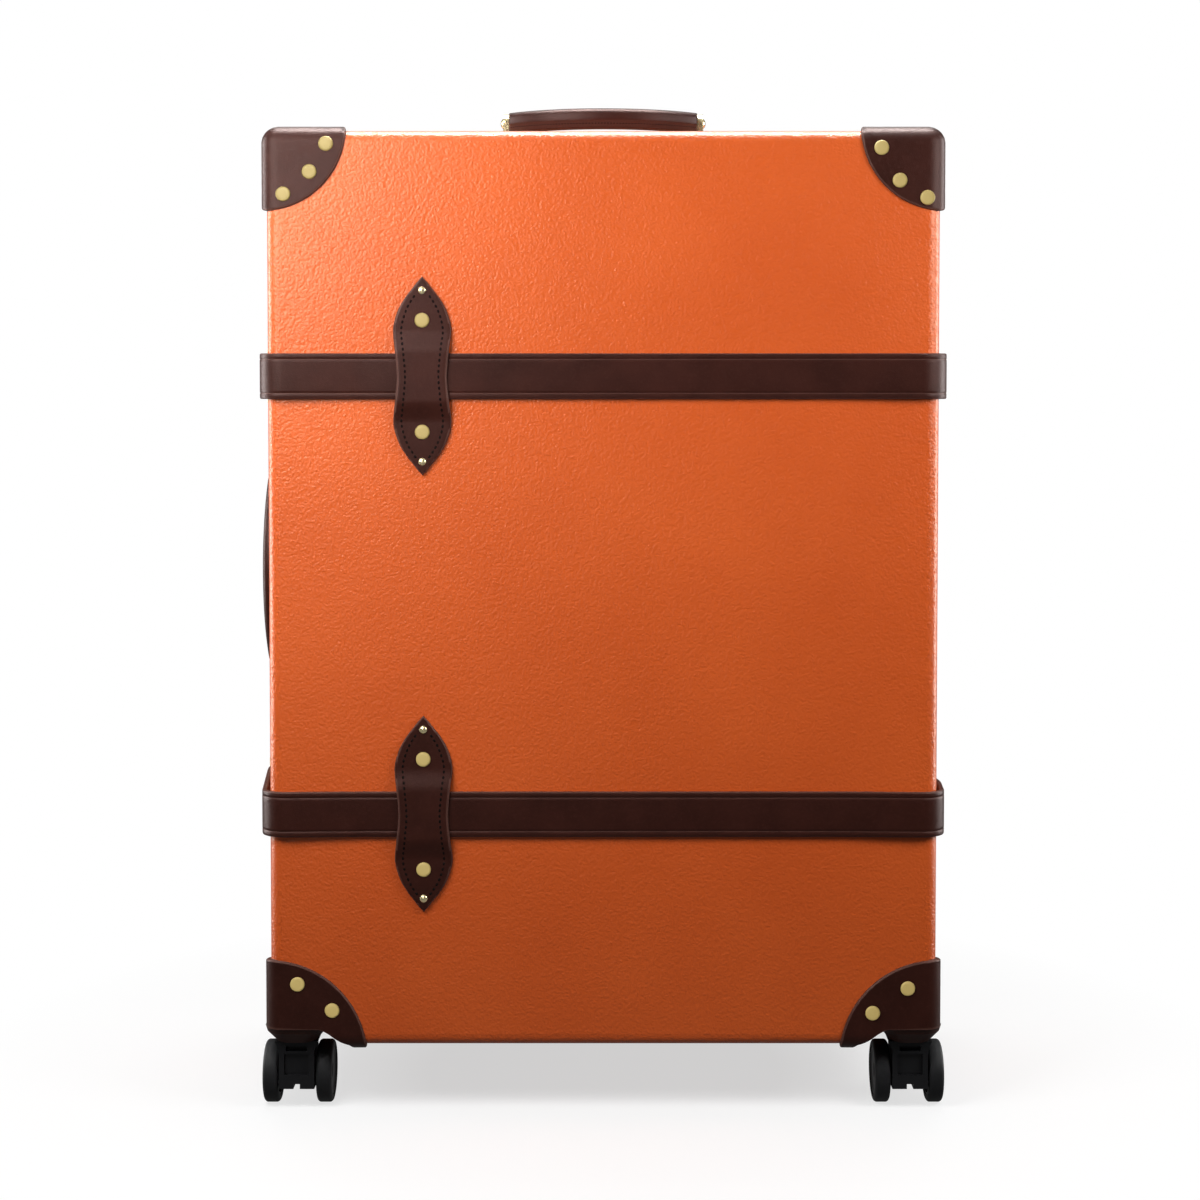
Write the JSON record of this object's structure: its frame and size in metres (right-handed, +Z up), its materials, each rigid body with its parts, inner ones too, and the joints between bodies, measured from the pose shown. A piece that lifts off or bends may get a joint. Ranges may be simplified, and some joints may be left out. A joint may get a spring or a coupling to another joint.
{
  "type": "suitcase",
  "caption": "Upright hard-shell travel case of fibre board with leather corners, straps and handles, riveted trim, a hinged lid, a telescopic trolley and swivelling twin-wheel castors.",
  "frame": {"origin": "on the floor below the middle of the case", "axes": "+Z up, +X to the right seen from the front, +Y from the front to the back"},
  "size_m": [0.572, 0.2613, 0.815],
  "materials": {
    "fibre_orange": "pressed vulcanised fibre board, fine pebbled grain, semi-gloss",
    "leather_brown": "smooth dark brown leather with painted edges",
    "brass": "pale polished brass",
    "tube_aluminium": "satin anodised",
    "lining_cloth": "plain woven cotton",
    "foot_plastic": "moulded",
    "housing_brown": "moulded, satin",
    "fork_black": "moulded, satin",
    "axle_steel": "ground",
    "wheel_rubber": "moulded tyre, dull"
  },
  "bodies": {
    "base": {"base_shell": "fibre_orange", "base_edge_frame": "tube_aluminium", "base_lining": "lining_cloth", "base_corners": "leather_brown", "base_rivets": "brass", "base_strap_upper": "leather_brown", "base_strap_lower": "leather_brown", "hinge_leaves_base": "brass", "hinge_pins": "brass", "lock_cases": "brass", "handle_posts": "brass", "handle_pins": "brass", "trolley_sleeves": "tube_aluminium", "trolley_foot": "foot_plastic", "trolley_top_plate": "brass", "castor_housing_rear_left": "housing_brown", "castor_housing_rear_right": "housing_brown"},
    "lid": {"lid_shell": "fibre_orange", "lid_edge_frame": "tube_aluminium", "lid_lining": "lining_cloth", "lid_corner_top_left": "leather_brown", "lid_corner_top_right": "leather_brown", "lid_corner_bottom_left": "leather_brown", "lid_corner_bottom_right": "leather_brown", "lid_rivets": "brass", "keeper_nails": "brass", "lid_strap_upper": "leather_brown", "lid_strap_lower": "leather_brown", "keeper_upper": "leather_brown", "keeper_lower": "leather_brown", "strap_buckles": "brass", "strap_loops": "leather_brown", "hinge_leaves_lid": "brass", "lock_catches": "brass", "castor_housing_front_left": "housing_brown", "castor_housing_front_right": "housing_brown"},
    "top_handle": {"top_handle_grip": "leather_brown"},
    "side_handle": {"side_handle_grip": "leather_brown"},
    "trolley_middle": {"trolley_middle_tubes": "tube_aluminium"},
    "trolley_inner": {"trolley_inner_tubes": "tube_aluminium", "trolley_grip": "leather_brown"},
    "trolley_button": {"trolley_button": "brass"},
    "lock_slider_upper": {"lock_slider_upper": "brass"},
    "lock_slider_lower": {"lock_slider_lower": "brass"},
    "castor_front_left": {"castor_fork_front_left": "fork_black", "castor_axle_front_left": "axle_steel"},
    "wheel_front_left_outer": {"wheel_front_left_outer": "wheel_rubber"},
    "wheel_front_left_inner": {"wheel_front_left_inner": "wheel_rubber"},
    "castor_front_right": {"castor_fork_front_right": "fork_black", "castor_axle_front_right": "axle_steel"},
    "wheel_front_right_outer": {"wheel_front_right_outer": "wheel_rubber"},
    "wheel_front_right_inner": {"wheel_front_right_inner": "wheel_rubber"},
    "castor_rear_left": {"castor_fork_rear_left": "fork_black", "castor_axle_rear_left": "axle_steel"},
    "wheel_rear_left_outer": {"wheel_rear_left_outer": "wheel_rubber"},
    "wheel_rear_left_inner": {"wheel_rear_left_inner": "wheel_rubber"},
    "castor_rear_right": {"castor_fork_rear_right": "fork_black", "castor_axle_rear_right": "axle_steel"},
    "wheel_rear_right_outer": {"wheel_rear_right_outer": "wheel_rubber"},
    "wheel_rear_right_inner": {"wheel_rear_right_inner": "wheel_rubber"}
  },
  "joints": [
    {"name": "lid_open", "type": "hinge", "parent": "base", "child": "lid", "pos_m": [0.271, -0.005, 0.42], "axis": [0, 0, 1], "range_deg": [0, 110]},
    {"name": "top_handle_fold", "type": "hinge", "parent": "base", "child": "top_handle", "pos_m": [0, 0.036, 0.80675], "axis": [-1, 0, 0], "range_deg": [0, 90]},
    {"name": "side_handle_fold", "type": "hinge", "parent": "base", "child": "side_handle", "pos_m": [-0.28875, 0.098, 0.42], "axis": [0, 0, -1], "range_deg": [0, 90]},
    {"name": "trolley_middle_slide", "type": "slide", "parent": "base", "child": "trolley_middle", "axis": [0, 0, 1], "range_m": [0, 0.13]},
    {"name": "trolley_inner_slide", "type": "slide", "parent": "trolley_middle", "child": "trolley_inner", "axis": [0, 0, 1], "range_m": [0, 0.13]},
    {"name": "trolley_button_press", "type": "slide", "parent": "trolley_inner", "child": "trolley_button", "axis": [0, 0, -1], "range_m": [0, 0.003], "stiffness_N_per_m": 400},
    {"name": "lock_slider_upper_slide", "type": "slide", "parent": "base", "child": "lock_slider_upper", "axis": [0, 0, 1], "range_m": [0, 0.007], "stiffness_N_per_m": 150},
    {"name": "lock_slider_lower_slide", "type": "slide", "parent": "base", "child": "lock_slider_lower", "axis": [0, 0, 1], "range_m": [0, 0.007], "stiffness_N_per_m": 150},
    {"name": "castor_front_left_swivel", "type": "hinge", "parent": "lid", "child": "castor_front_left", "pos_m": [-0.247, -0.101, 0.055], "axis": [0, 0, 1], "continuous": true},
    {"name": "wheel_front_left_outer_spin", "type": "hinge", "parent": "castor_front_left", "child": "wheel_front_left_outer", "pos_m": [-0.247, -0.087, 0.025], "axis": [1, 0, 0], "continuous": true},
    {"name": "wheel_front_left_inner_spin", "type": "hinge", "parent": "castor_front_left", "child": "wheel_front_left_inner", "pos_m": [-0.247, -0.087, 0.025], "axis": [1, 0, 0], "continuous": true},
    {"name": "castor_front_right_swivel", "type": "hinge", "parent": "lid", "child": "castor_front_right", "pos_m": [0.247, -0.101, 0.055], "axis": [0, 0, 1], "continuous": true},
    {"name": "wheel_front_right_outer_spin", "type": "hinge", "parent": "castor_front_right", "child": "wheel_front_right_outer", "pos_m": [0.247, -0.087, 0.025], "axis": [1, 0, 0], "continuous": true},
    {"name": "wheel_front_right_inner_spin", "type": "hinge", "parent": "castor_front_right", "child": "wheel_front_right_inner", "pos_m": [0.247, -0.087, 0.025], "axis": [1, 0, 0], "continuous": true},
    {"name": "castor_rear_left_swivel", "type": "hinge", "parent": "base", "child": "castor_rear_left", "pos_m": [-0.247, 0.101, 0.055], "axis": [0, 0, 1], "continuous": true},
    {"name": "wheel_rear_left_outer_spin", "type": "hinge", "parent": "castor_rear_left", "child": "wheel_rear_left_outer", "pos_m": [-0.247, 0.087, 0.025], "axis": [1, 0, 0], "continuous": true},
    {"name": "wheel_rear_left_inner_spin", "type": "hinge", "parent": "castor_rear_left", "child": "wheel_rear_left_inner", "pos_m": [-0.247, 0.087, 0.025], "axis": [1, 0, 0], "continuous": true},
    {"name": "castor_rear_right_swivel", "type": "hinge", "parent": "base", "child": "castor_rear_right", "pos_m": [0.247, 0.101, 0.055], "axis": [0, 0, 1], "continuous": true},
    {"name": "wheel_rear_right_outer_spin", "type": "hinge", "parent": "castor_rear_right", "child": "wheel_rear_right_outer", "pos_m": [0.247, 0.087, 0.025], "axis": [1, 0, 0], "continuous": true},
    {"name": "wheel_rear_right_inner_spin", "type": "hinge", "parent": "castor_rear_right", "child": "wheel_rear_right_inner", "pos_m": [0.247, 0.087, 0.025], "axis": [1, 0, 0], "continuous": true}
  ]
}
